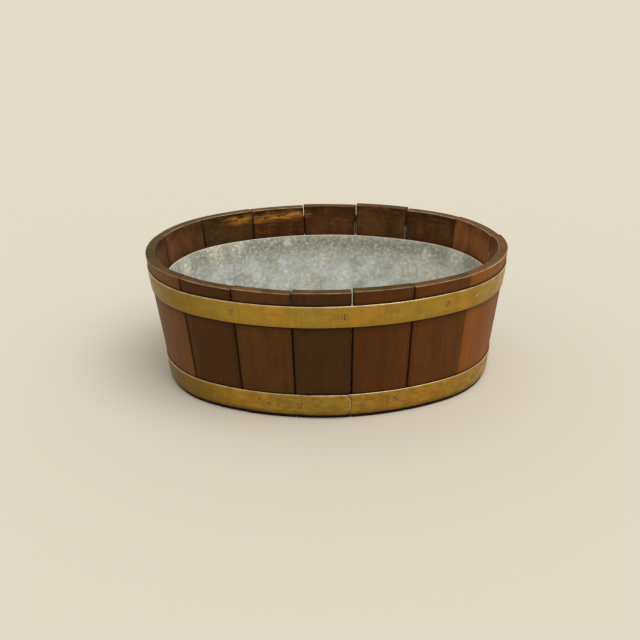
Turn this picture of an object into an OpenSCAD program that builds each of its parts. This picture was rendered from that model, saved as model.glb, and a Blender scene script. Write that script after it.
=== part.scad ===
// Oval coopered planter: mahogany staves held by two brass straps, with a loose galvanised liner.
// The origin is on the ground under the middle of the tub, and +X runs along its length.
// Every ring of the tub is a four-centre oval. A place on it is given by the angle of its outward
// normal, counted anticlockwise from +X, so the front is at 270, and by how far it lies in or out
// of the rim's outer edge.

/* [Tub] */
// Length over the staves at the rim
rim_length = 610; // [560:5:720]
// Width over the staves at the rim
rim_width = 456; // [430:2:520]
// Radius of the two rounded ends at the rim
end_radius = 200; // [170:2:210]
// Height of the staves
tub_height = 226; // [190:2:300]
// How far each side leans out from the foot to the rim
splay = 27; // [10:1:40]

/* [Staves] */
// Thickness of a stave
stave_t = 16; // [12:0.5:20]
// Width of a joint that has dried open
open_joint = 2; // [1:0.1:3.5]
// Width of the widest joint, near the middle of the front
wide_joint = 3; // [1:0.1:4]
// Width of a joint that is still tight
tight_joint = 0.2; // [0:0.05:0.5]
// Easing along the top edges of a stave
top_easing = 1.5; // [0.5:0.25:3]

/* [Base] */
// Number of base boards
board_count = 4; // [2:1:6]
// Thickness of a base board
board_t = 14; // [10:1:20]
// Height of the groove that holds the boards, which leaves the chime below it
groove_z = 16; // [10:1:25]
// Depth of that groove in the staves
groove_depth = 5; // [3:0.5:7]
// Clearance of a base board in its groove
board_fit = 0.2; // [0.1:0.05:0.5]
// Width of the joints between the boards
board_joint = 0.4; // [0:0.1:2]

/* [Straps] */
// Thickness of the brass strap
strap_t = 1.5; // [1:0.1:3]
// Clearance between a strap and the staves
strap_fit = 0.1; // [0.05:0.05:0.3]
// Width of the upper strap
upper_strap_w = 37; // [25:1:50]
// Height of the upper strap's lower edge
upper_strap_z = 167; // [110:1:175]
// Width of the lower strap
lower_strap_w = 38; // [25:1:50]
// Height of the lower strap's lower edge
lower_strap_z = 7; // [3:1:20]
// Length of the lap where a strap closes on itself
lap_length = 66; // [40:2:70]
// How far the lapped end's edges lie in from the strap's
lap_set = 0.2; // [0.1:0.05:0.5]
// Radius of the corners of the lapped end
lap_corner = 11; // [4:1:12]
// Normal angle of the upper strap's lapped end, at the back
upper_lap_end = 84; // [75:1:90]
// Normal angle of the lower strap's lapped end, at the front
lower_lap_end = 274.5; // [265:0.5:285]

/* [Screws] */
// Diameter of a screw's head
head_d = 9; // [7:0.5:11]
// Diameter of a screw's shank
shank_d = 4; // [3:0.5:5]
// How far a screw's head stands proud of the strap
head_proud = 0.2; // [0:0.1:0.5]
// Width of the slot in the head
slot_w = 1.1; // [0.6:0.1:1.6]
// Depth of the slot
slot_depth = 1; // [0.5:0.1:1.5]
// Diameter of the head of a lap nail
nail_head_d = 4; // [3:0.5:5]
// Diameter of the shank of a lap nail
nail_d = 2; // [1.5:0.25:3]
// Height of a lap nail's head
nail_head_h = 0.6; // [0.4:0.1:1]
// Wood left between the point of a screw or nail and the base boards' groove
point_cover = 1.5; // [1:0.5:4]
// Clearance round the screws and nails in their holes
screw_fit = 0.1; // [0.05:0.05:0.3]

/* [Liner] */
// Height of the liner
liner_h = 138; // [100:1:150]
// Thickness of the galvanised sheet
sheet_t = 0.8; // [0.6:0.1:1.5]
// Clearance between the liner's sheets where they are soldered
sheet_fit = 0.3; // [0.1:0.05:0.5]
// Clearance between the liner and the staves
liner_gap = 6; // [4:0.5:12]
// Depth of the folded edge round the liner's top
hem_depth = 8; // [5:1:15]
// Width of the lap seams that join the two wall sheets at the ends
seam_w = 12; // [8:1:20]
// How much the liner leans down to the right, in degrees
liner_lean = 0.9; // [0:0.1:1]
// Clearance between the liner and the base boards where it rests
rest_gap = 0.3; // [0.2:0.05:0.5]

/* [Hidden] */
$fn = 180;
// The oval's arcs meet at a tangent, where rounding could leave a crack between them. So the end
// arcs are this much fuller all round, and the side arcs run this far into them.
arc_swell = 0.02;
arc_tongue = 0.6;

// One row per stave, going round from the front left: its name, the normal angle of its far joint,
// that joint's width, how far its top stands above or below the tub's height, and its colour.
STAVES = [
    ["front_stave_1", 248.7, open_joint, 0, "#4f3320"],
    ["front_stave_2", 261.7, open_joint, -1, "#56371f"],
    ["front_stave_3", 274.7, wide_joint, 0, "#463021"],
    ["front_stave_4", 288.1, open_joint, 1.2, "#5a3820"],
    ["front_stave_5", 304.2, tight_joint, -0.6, "#5d3a20"],
    ["right_end_stave_1", 336.6, tight_joint, 0, "#82431f"],
    ["right_end_stave_2", 369, open_joint, -0.5, "#784022"],
    ["right_end_stave_3", 403.7, tight_joint, -3.5, "#6e4023"],
    ["back_stave_1", 427, open_joint, -3, "#553420"],
    ["back_stave_2", 441.2, open_joint, 0, "#5c3c22"],
    ["back_stave_3", 455.6, open_joint, -1, "#58351f"],
    ["back_stave_4", 470.1, open_joint, -1, "#55331d"],
    ["back_stave_5", 490.7, open_joint, 0, "#4b3826"],
    ["left_end_stave_1", 524, tight_joint, 0, "#6a3c25"],
    ["left_end_stave_2", 557.4, tight_joint, 0.5, "#68402c"],
    ["left_end_stave_3", 590.7, open_joint, 1.5, "#6b4029"],
];
BOARDS = [for (i = [1:board_count]) str("base_board_", i)];

// One row per screw: its normal angle and which way its slot is turned. A lower screw's row ends
// with how far it stands above the middle of its strap.
UPPER_SCREWS = [
    [248.3, 80], [273, 90], [296.5, 50], [347, 20], [34, 140], [71, 65], [96.5, 10], [123.5, 100],
    [151, 35], [205, 120],
];
LOWER_SCREWS = [
    [263, 70, -2], [285.3, 125, 2.4], [318, 30, 0], [3, 95, 1], [56, 150, -1], [80, 15, 0],
    [103, 60, 2], [127, 110, -1], [178, 45, 0],
];
// How far a lap nail stands in from the strap's lapped end, and above its lower edge
NAIL_INSET = 7;
NAIL_RISE = 9;

// The oval at the rim: two end arcs whose centres lie on X, and two side arcs with centres on Y
half_l = rim_length / 2;
half_w = rim_width / 2;
end_x = half_l - end_radius;
side_radius = (end_x * end_x + half_w * half_w - end_radius * end_radius) / (2 * (half_w - end_radius));
side_y = side_radius - half_w;
turn = atan2(side_y, end_x);
lean_angle = atan2(splay, tub_height);
// Each arc has its first and last normal angle, its centre, its radius, its swell and its tongue.
// The first is the right end, and the others follow anticlockwise, for two turns.
ARCS = [for (k = [0:8]) k % 2 == 0 ? [
    90 * k - turn, 90 * k + turn, [k % 4 == 0 ? end_x : -end_x, 0], end_radius, arc_swell, 0,
] : [
    90 * (k - 1) + turn, 90 * (k + 1) - turn, [0, k % 4 == 1 ? -side_y : side_y], side_radius,
    0, arc_tongue / side_radius * 180 / PI,
]];

function arc_at(angle) = [for (a = ARCS) if (angle >= a[0] && angle <= a[1]) a][0];
// How far the staves' outer face lies outside the rim's edge, at a height
function face(z) = -splay * (1 - z / tub_height);
function inner(z) = face(z) - stave_t;
// Normal angle at a distance along the oval from another, on the same arc
function along(angle, distance, z) = angle + distance / (arc_at(angle)[3] + face(z)) * 180 / PI;

// The whole oval with one section all the way round
module ring(section) {
    run(-turn, 360 - turn, section);
}

// A piece of the oval from one normal angle to another. Its section is a list of [offset, height]
// that goes anticlockwise.
module run(from, to, section) {
    for (a = ARCS)
        if (min(to, a[1]) - max(from, a[0]) > 0.01) {
            start = max(from, a[0] - a[5]);
            translate(a[2])
                rotate([0, 0, start])
                    rotate_extrude(angle = min(to, a[1] + a[5]) - start)
                        translate([a[3], 0]) polygon(grown(section, a[4]));
        }
}

// An outline that goes anticlockwise, moved outwards by a distance
function outward(edge) = [edge[1], -edge[0]] / norm(edge);
function grown(section, by) = [for (i = [0:len(section) - 1]) let (
    here = section[i],
    last = outward(here - section[(i + len(section) - 1) % len(section)]),
    next = outward(section[(i + 1) % len(section)] - here)
) here + by * (last + next) / (1 + last * next)];

// Turns its children so that +Z leaves the staves at a normal angle, a height and an offset
module on_face(angle, z, offset) {
    a = arc_at(angle);
    translate(a[2])
        rotate([0, 0, angle])
            translate([a[3] + face(z) + offset, 0, z])
                rotate([0, 90 + lean_angle, 0])
                    children();
}

// The space inside the oval at an offset, between two heights
module oval_prism(offset, low, high) {
    translate([0, 0, low]) {
        for (side = [-1, 1])
            translate([side * end_x, 0, 0])
                cylinder(r = end_radius + offset + arc_swell, h = high - low);
        side_reach = end_x + cos(turn) * (end_radius + offset) + arc_tongue;
        intersection() {
            translate([-side_reach, -rim_width, 0]) cube([2 * side_reach, 2 * rim_width, high - low]);
            translate([0, -side_y, 0]) cylinder(r = side_radius + offset, h = high - low);
            translate([0, side_y, 0]) cylinder(r = side_radius + offset, h = high - low);
        }
    }
}

// Staves
groove_wall = inner(groove_z) + groove_depth;

function stave_section(top) = [
    [face(0), 0],
    [face(top - top_easing), top - top_easing],
    [face(top) - top_easing, top],
    [inner(top) + top_easing, top],
    [inner(top - top_easing), top - top_easing],
    [inner(groove_z + board_t), groove_z + board_t],
    [groove_wall, groove_z + board_t],
    [groove_wall, groove_z],
    [inner(groove_z), groove_z],
    [inner(0), 0],
];

module stave(i) {
    row = STAVES[i];
    before = STAVES[(i + len(STAVES) - 1) % len(STAVES)];
    from = i == 0 ? before[1] - 360 : before[1];
    start = from + before[2] / 2 / arc_at(from)[3] * 180 / PI;
    end = row[1] - row[2] / 2 / arc_at(row[1])[3] * 180 / PI;
    color(row[4])
        difference() {
            run(start, end, stave_section(tub_height + row[3]));
            fastenings(screw_fit);
        }
}

// Base boards, laid along the tub in its groove
module base_board(i) {
    edge = groove_wall - board_fit;
    width = (rim_width + 2 * edge) / board_count;
    color("#6b5238")
        intersection() {
            oval_prism(edge, groove_z + board_fit, groove_z + board_t - board_fit);
            translate([-half_l, -half_w - edge + i * width + board_joint / 2, 0])
                cube([rim_length, width - board_joint, tub_height]);
        }
}

// Brass straps: a ring of flat bar, and the end that laps over its start. A section runs from one
// number of thicknesses above the staves to another.
function strap_section(z, w, from, to) = [
    [face(z) + strap_top(from), z],
    [face(z) + strap_top(to), z],
    [face(z + w) + strap_top(to), z + w],
    [face(z + w) + strap_top(from), z + w],
];

module strap(z, w, lap_end) {
    color("#9a7a35") {
        difference() {
            union() {
                ring(strap_section(z, w, 0, 1));
                lapped_end(z, w, lap_end);
            }
            fastenings(screw_fit);
        }
    }
}

// The lapped end lies on the ring, a little in from its edges, and its two corners are round
module lapped_end(z, w, lap_end) {
    low = z + lap_set;
    high = z + w - lap_set;
    difference() {
        run(along(lap_end, -lap_length, z), lap_end, strap_section(low, high - low, 0.5, 2));
        on_face(lap_end, low, 0) corner_cut();
        on_face(lap_end, high, 0) mirror([1, 0, 0]) corner_cut();
    }
}

// What a round corner leaves of a square one. It is not quite a quarter round.
module corner_cut() {
    inset = 0.97 * lap_corner;
    difference() {
        translate([-inset, -inset, 0]) cube([2 * inset, 2 * inset, 4 * strap_t]);
        translate([-inset, -inset, -strap_t]) cylinder(r = lap_corner, h = 6 * strap_t);
    }
}

// Screws and nails
function over_lap(angle, lap_end, z) =
    angle <= lap_end && angle >= along(lap_end, -lap_length, z) ? 2 : 1;
function strap_top(layers) = strap_fit + layers * strap_t;

// How deep the screws and nails go in below the face of the outermost strap
function reach(layers) = strap_top(layers) + stave_t - groove_depth - point_cover;

// A countersunk screw, or with some fit the hole that it leaves, which flares on past the strap
module screw(slot_turn, layers, fit) {
    shank_r = shank_d / 2 + fit;
    head_r = head_d / 2 + fit;
    head = fit == 0
        ? [[head_r, 0], [head_r, head_proud], [0, head_proud]]
        : [[head_r + strap_t, strap_t], [0, strap_t]];
    point = -reach(layers) - fit;
    difference() {
        rotate_extrude()
            polygon(concat([[0, point], [shank_r, point], [shank_r, shank_r - head_r]], head));
        if (fit == 0)
            rotate([0, 0, slot_turn])
                translate([-head_d, -slot_w / 2, head_proud - slot_depth])
                    cube([2 * head_d, slot_w, 2 * slot_depth]);
    }
}

module nail(fit) {
    translate([0, 0, -reach(2) - fit])
        cylinder(d = nail_d + 2 * fit, h = reach(2) + fit + nail_head_h / 2);
    if (fit == 0) cylinder(d = nail_head_d, h = nail_head_h);
}

module screw_at(angle, z, slot_turn, lap_end, fit) {
    layers = over_lap(angle, lap_end, z);
    on_face(angle, z, strap_top(layers)) screw(slot_turn, layers, fit);
}

module upper_screws(fit) {
    for (s = UPPER_SCREWS)
        screw_at(s[0], upper_strap_z + upper_strap_w / 2, s[1], upper_lap_end, fit);
}

module lower_screws(fit) {
    for (s = LOWER_SCREWS)
        screw_at(s[0], lower_strap_z + lower_strap_w / 2 + s[2], s[1], lower_lap_end, fit);
}

module nails(fit) {
    for (lap = [[upper_strap_z, upper_lap_end], [lower_strap_z, lower_lap_end]]) {
        z = lap[0] + NAIL_RISE;
        on_face(along(lap[1], -NAIL_INSET, z), z, strap_top(2)) nail(fit);
    }
}

module fastenings(fit) {
    upper_screws(fit);
    lower_screws(fit);
    nails(fit);
}

module upper_strap() {
    strap(upper_strap_z, upper_strap_w, upper_lap_end);
}

module lower_strap() {
    strap(lower_strap_z, lower_strap_w, lower_lap_end);
}

module upper_strap_screws() {
    color("#b09145") upper_screws(0);
}

module lower_strap_screws() {
    color("#b09145") lower_screws(0);
}

module lap_nails() {
    color("#b8a050") nails(0);
}

// Liner, drawn as if level and then leant so that its right end is the one that rests
liner_foot = groove_z + board_t;
hem_z = liner_h - hem_depth;

// Outer face of the liner's wall at a height above its floor
function skin(z) = inner(liner_foot + z) - liner_gap - sheet_t;

module placed_liner() {
    drop = (half_l + skin(0)) * sin(liner_lean);
    translate([-liner_h * sin(liner_lean) / 2, 0, liner_foot - board_fit + rest_gap + drop])
        rotate([0, liner_lean, 0])
            children();
}

// The wall's sheet between two normal angles, with its top edge folded down outside
module wall_sheet(from, to) {
    run(from, to, [
        [skin(0) - sheet_t, 0],
        [skin(0), 0],
        [skin(hem_z), hem_z],
        [skin(hem_z) + sheet_t, hem_z],
        [skin(liner_h - sheet_t) + sheet_t, liner_h - sheet_t],
        [skin(liner_h), liner_h],
        [skin(liner_h) - sheet_t, liner_h],
    ]);
}

lap_depth = sheet_t + sheet_fit;
seam_half = seam_w / 2 / end_radius * 180 / PI;
sheet_turn = sheet_t / end_radius * 180 / PI;

// A strip of the back sheet between two depths in from the wall's face, short of the lap's height
// by some inset at its top and foot
module lap_strip(from, to, near, far, inset) {
    low = lap_depth + inset;
    high = liner_h - sheet_t - inset;
    run(from, to, [
        [skin(low) - far, low],
        [skin(low) - near, low],
        [skin(high) - near, high],
        [skin(high) - far, high],
    ]);
}

module liner_front_wall() {
    color("#a3a59c")
        placed_liner() wall_sheet(180 - seam_half, 360 + seam_half);
}

// At both ends of the tub the back sheet laps behind the front sheet. The lap is one strip, and
// the step that joins it to the wall is another, whose faces all lie inside the two.
module liner_back_wall() {
    seam_end = 360 + seam_half;
    color("#a0a29a")
        placed_liner() {
            wall_sheet(seam_half + sheet_turn, 180 - seam_half - sheet_turn);
            for (side = [0, 1])
                mirror([side, 0, 0]) {
                    lap_strip(360 - seam_half, seam_end + 3 * sheet_turn, lap_depth, lap_depth + sheet_t, 0);
                    lap_strip(
                        seam_end + 1.5 * sheet_turn, seam_end + 2.5 * sheet_turn,
                        sheet_t / 3, lap_depth + sheet_t / 2, sheet_t
                    );
                }
        }
}

module liner_floor() {
    color("#9c9e97")
        placed_liner() oval_prism(skin(0) - sheet_t - sheet_fit, 0, sheet_t);
}

for (i = [0:len(STAVES) - 1])
    stave(i);
for (i = [0:board_count - 1])
    base_board(i);
upper_strap();
lower_strap();
upper_strap_screws();
lower_strap_screws();
lap_nails();
liner_front_wall();
liner_back_wall();
liner_floor();
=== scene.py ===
import math
import random

import bpy
from mathutils import Matrix, Vector, noise


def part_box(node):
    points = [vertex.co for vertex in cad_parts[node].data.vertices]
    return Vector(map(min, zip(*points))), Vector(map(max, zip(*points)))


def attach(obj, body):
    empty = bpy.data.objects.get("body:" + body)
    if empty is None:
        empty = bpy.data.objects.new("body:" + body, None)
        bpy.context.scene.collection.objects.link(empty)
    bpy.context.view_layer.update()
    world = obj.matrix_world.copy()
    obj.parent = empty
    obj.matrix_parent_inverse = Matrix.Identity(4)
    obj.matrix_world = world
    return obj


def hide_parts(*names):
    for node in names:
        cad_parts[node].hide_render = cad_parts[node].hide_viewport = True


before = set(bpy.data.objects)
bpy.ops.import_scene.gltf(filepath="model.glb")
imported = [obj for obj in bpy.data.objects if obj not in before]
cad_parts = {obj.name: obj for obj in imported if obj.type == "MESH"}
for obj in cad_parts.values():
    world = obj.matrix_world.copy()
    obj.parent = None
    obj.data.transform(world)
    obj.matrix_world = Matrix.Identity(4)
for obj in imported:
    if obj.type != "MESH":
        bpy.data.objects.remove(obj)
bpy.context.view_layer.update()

# Sizes below are in millimetres, and this brings them to metres
mm = 0.001

# The tub's plan is a four-centre oval. A place on it is the angle of its outward normal, in degrees
# anticlockwise from +X (the front is at 270), and how far it lies out from the rim's outer edge.
tub = {
    "rimLength": 610,
    "rimWidth": 456,
    "endRadius": 200,
    "height": 226,
    "splay": 27,           # how far the sides lean out from the foot to the rim
    "step": 4,             # spacing of the mesh rows round the tub
}
halfLength = tub["rimLength"] / 2
halfWidth = tub["rimWidth"] / 2
endX = halfLength - tub["endRadius"]
sideRadius = (endX ** 2 + halfWidth ** 2 - tub["endRadius"] ** 2) / 2 / (halfWidth - tub["endRadius"])
sideY = sideRadius - halfWidth
turnAngle = math.degrees(math.atan2(sideY, endX))
# Each arc as its last angle, its centre and its radius
arcs = [
    (turnAngle, (endX, 0), tub["endRadius"]),
    (180 - turnAngle, (0, -sideY), sideRadius),
    (180 + turnAngle, (-endX, 0), tub["endRadius"]),
    (360 - turnAngle, (0, sideY), sideRadius),
    (360, (endX, 0), tub["endRadius"]),
]


def arcAt(angle):
    return next(arc for arc in arcs if angle % 360 <= arc[0])


def faceAt(z):
    # the staves' outer face at a height, as an offset from the rim
    return -tub["splay"] * (1 - z / tub["height"])


def ovalPoint(angle, offset, z):
    _, centre, radius = arcAt(angle)
    turned = math.radians(angle)
    reach = radius + offset
    return Vector((centre[0] + reach * math.cos(turned), centre[1] + reach * math.sin(turned), z)) * mm


def runTo(angle):
    # how far a place lies round the rim from the right end
    turns, rest = divmod(angle, 360)
    lengths = []
    start = 0
    for end, _, radius in arcs:
        lengths.append(radius * math.radians(end - start))
        if rest <= end:
            partial = sum(lengths[:-1]) + radius * math.radians(rest - start)
            break
        start = end
    whole = 4 * tub["endRadius"] * math.radians(turnAngle) + 4 * sideRadius * math.radians(90 - turnAngle)
    return turns * whole + partial


def angleAlong(angle, distance):
    # the angle of a place on the same arc, a distance round the rim from another
    return angle + math.degrees(distance / arcAt(angle)[2])


def angleAtRun(start, end, distance):
    # the angle between two others that lies a distance round the rim from the first, by halving
    low, high = start, end
    for _ in range(40):    # more halvings than a float can show
        middle = (low + high) / 2
        if runTo(middle) - runTo(start) < distance:
            low = middle
        else:
            high = middle
    return middle


def normalAngle(point):
    # the angle of a point in metres, found from the arc whose sector it lies in
    x, y = point[0] / mm, point[1] / mm
    for side in (1, -1):
        swing = math.degrees(math.atan2(y, (x * side) - endX))
        if abs(swing) <= turnAngle:
            return swing % 360 if side > 0 else (180 - swing) % 360
    centreY = -sideY if y > 0 else sideY
    return math.degrees(math.atan2(y - centreY, x)) % 360


def smooth(value, low, high):
    t = min(max((value - low) / (high - low), 0), 1)
    return t * t * (3 - 2 * t)


def linear(hexColour):
    # an sRGB hex colour as linear light
    values = [int(hexColour[i:i + 2], 16) / 255 for i in (1, 3, 5)]
    return tuple(v / 12.92 if v <= 0.04045 else ((v + 0.055) / 1.055) ** 2.4 for v in values) + (1,)


def addNode(tree, kind, values, output=0):
    # values are the node's own fields, or its sockets by name or number. Each is a setting, a hex colour
    # or another node's output, and one output of the new node is returned.
    node = tree.nodes.new("ShaderNode" + kind)
    for name, value in values.items():
        if isinstance(value, str) and value.startswith("#"):
            value = linear(value)
        if name == "stops":
            ramp = node.color_ramp
            while len(ramp.elements) < len(value):
                ramp.elements.new(1)
            for element, (position, colour) in zip(ramp.elements, value):
                element.position = position
                element.color = linear(colour) if isinstance(colour, str) else (colour, colour, colour, 1)
        elif isinstance(value, bpy.types.NodeSocket):
            tree.links.new(value, node.inputs[name])
        elif isinstance(name, int) or name in node.inputs:
            node.inputs[name].default_value = value
        else:
            setattr(node, name, value)
    return node.outputs[output] if node.outputs else node


def newMaterial(name):
    material = bpy.data.materials.new(name)
    material.use_nodes = True
    material.node_tree.nodes.clear()
    return material, material.node_tree


# The Mix node has its colour sockets at these places
mixA, mixB, mixResult = 6, 7, 2


def rowsBetween(corners, rowGap):
    # how many rows each side of an outline is cut into, counted once so that every ring has as many
    sides = zip(corners, corners[1:] + corners[:1])
    return [max(1, round((Vector(a[:2]) - Vector(b[:2])).length / rowGap)) for a, b in sides]


def roundedOutline(corners, rows, arcSteps=4):
    # corners are (x, y, radius); returns (x, y, edge), where edge is 1 in the middle of a rounding
    points = []
    for i, (x, y, radius) in enumerate(corners):
        here = Vector((x, y))
        before = Vector(corners[i - 1][:2])
        after = Vector(corners[(i + 1) % len(corners)][:2])
        startPoint = here + (before - here).normalized() * radius
        endPoint = here + (after - here).normalized() * radius
        if radius:
            for k in range(arcSteps + 1):
                t = k / arcSteps
                p = startPoint * (1 - t) ** 2 + here * 2 * t * (1 - t) + endPoint * t * t
                points.append((p.x, p.y, 0.2 + 0.8 * math.sin(math.pi * t)))
        else:
            points.append((x, y, 0))
        nextRadius = corners[(i + 1) % len(corners)][2]
        goal = after + (here - after).normalized() * nextRadius
        for k in range(1, rows[i]):
            p = endPoint.lerp(goal, k / rows[i])
            points.append((p.x, p.y, 0))
    return points


def shrink(points, inset):
    # moves each point of an outline inwards. The outline goes round anticlockwise.
    if inset <= 0:
        return points
    result = []
    for i, (x, y, edge) in enumerate(points):
        before = points[i - 1]
        after = points[(i + 1) % len(points)]
        one = Vector((y - before[1], before[0] - x)).normalized()
        two = Vector((after[1] - y, x - after[0])).normalized()
        moved = Vector((x, y)) - (one + two) * inset / max(1 + one.dot(two), 0.3)
        result.append((moved.x, moved.y, edge))
    return result


def roundInset(distance, radius):
    # how far a rounded end draws in at a distance from its tip
    if distance >= radius:
        return 0
    return radius - math.sqrt(radius ** 2 - (radius - distance) ** 2)


def loft(name, rings, marks):
    # rings of as many points each, in metres, joined into one skin and closed at both ends. marks holds
    # one list of values for each attribute, in the points' order.
    count = len(rings[0])
    assert all(len(ring) == count for ring in rings), name
    vertices = [p for ring in rings for p in ring]
    faces = []
    last = (len(rings) - 1) * count
    for a in range(0, last, count):
        b = a + count
        for j in range(count):
            k = (j + 1) % count
            faces.append((a + j, b + j, b + k, a + k))
    faces.append(tuple(range(count)))
    faces.append(tuple(range(last + count - 1, last - 1, -1)))
    return makeMesh(name, vertices, faces, marks)


def makeMesh(name, vertices, faces, marks):
    mesh = bpy.data.meshes.new(name)
    mesh.from_pydata(vertices, [], faces)
    for markName, values in marks.items():
        isVector = not isinstance(values[0], (int, float))
        kind = "FLOAT_VECTOR" if isVector else "FLOAT"
        attribute = mesh.attributes.new(markName, kind, "POINT")
        if isVector:
            attribute.data.foreach_set("vector", [c for v in values for c in v])
        else:
            attribute.data.foreach_set("value", values)
    mesh.validate()
    piece = bpy.data.objects.new(name, mesh)
    bpy.context.scene.collection.objects.link(piece)
    finishShading(piece)
    return piece


sharpAngle = 40       # edges that turn more than this many degrees stay sharp


def finishShading(piece):
    mesh = piece.data
    mesh.polygons.foreach_set("use_smooth", [True] * len(mesh.polygons))
    mesh.set_sharp_from_angle(angle=math.radians(sharpAngle))
    weighted = piece.modifiers.new("weighted", "WEIGHTED_NORMAL")
    weighted.keep_sharp = True
    weighted.weight = 50


def joinPieces(name, pieces):
    # one object from several, under a new name
    bpy.ops.object.select_all(action="DESELECT")
    for piece in pieces:
        piece.select_set(True)
    bpy.context.view_layer.objects.active = pieces[0]
    bpy.ops.object.join()
    pieces[0].name = name
    pieces[0].data.name = name
    return pieces[0]


def dress(piece, body, material, node):
    piece.data.materials.clear()
    piece.data.materials.append(material)
    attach(piece, body)
    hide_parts(node)


def makePatterns(tree, place, sizes):
    # noise by name, each with its width and its length along the last axis in mm, and its detail
    patterns = {}
    for name, (width, length, detail) in sizes.items():
        scale = (1 / (width * mm), 1 / (width * mm), 1 / (length * mm))
        at = addNode(tree, "VectorMath", {"operation": "MULTIPLY", 0: place, 1: scale})
        patterns[name] = addNode(tree, "TexNoise", {"Scale": 1, "Detail": detail, "Roughness": 0.6,
                                                    "Vector": at})
    return patterns


def shareOf(tree, *ranges):
    # one share from several ranges multiplied together. A range is a value, where it starts and ends,
    # and what it gives at both, which is 0 and 1 unless it says otherwise.
    share = None
    for value, low, high, *ends in ranges:
        atLow, atHigh = ends or (0, 1)
        part = addNode(tree, "MapRange", {"Value": value, "From Min": low, "From Max": high,
                                          "To Min": atLow, "To Max": atHigh})
        if share is None:
            share = part
        else:
            share = addNode(tree, "Math", {"operation": "MULTIPLY", 0: share, 1: part})
    return share


def layCoats(tree, surface, coats):
    # lays each coat's colour over the surface by its share
    for share, colour in coats:
        surface = addNode(tree, "Mix", {"data_type": "RGBA", 0: share, mixA: surface, mixB: colour},
                          mixResult)
    return surface


def finishMaterial(material, relief, strength, depth, values):
    # ends a material: its relief becomes bump, as deep as depth in mm, and values are the shader's own
    tree = material.node_tree
    bump = addNode(tree, "Bump", {"Strength": strength, "Distance": depth * mm, "Height": relief})
    shader = addNode(tree, "BsdfPrincipled", {**values, "Normal": bump})
    addNode(tree, "OutputMaterial", {"Surface": shader})
    return material


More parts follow.
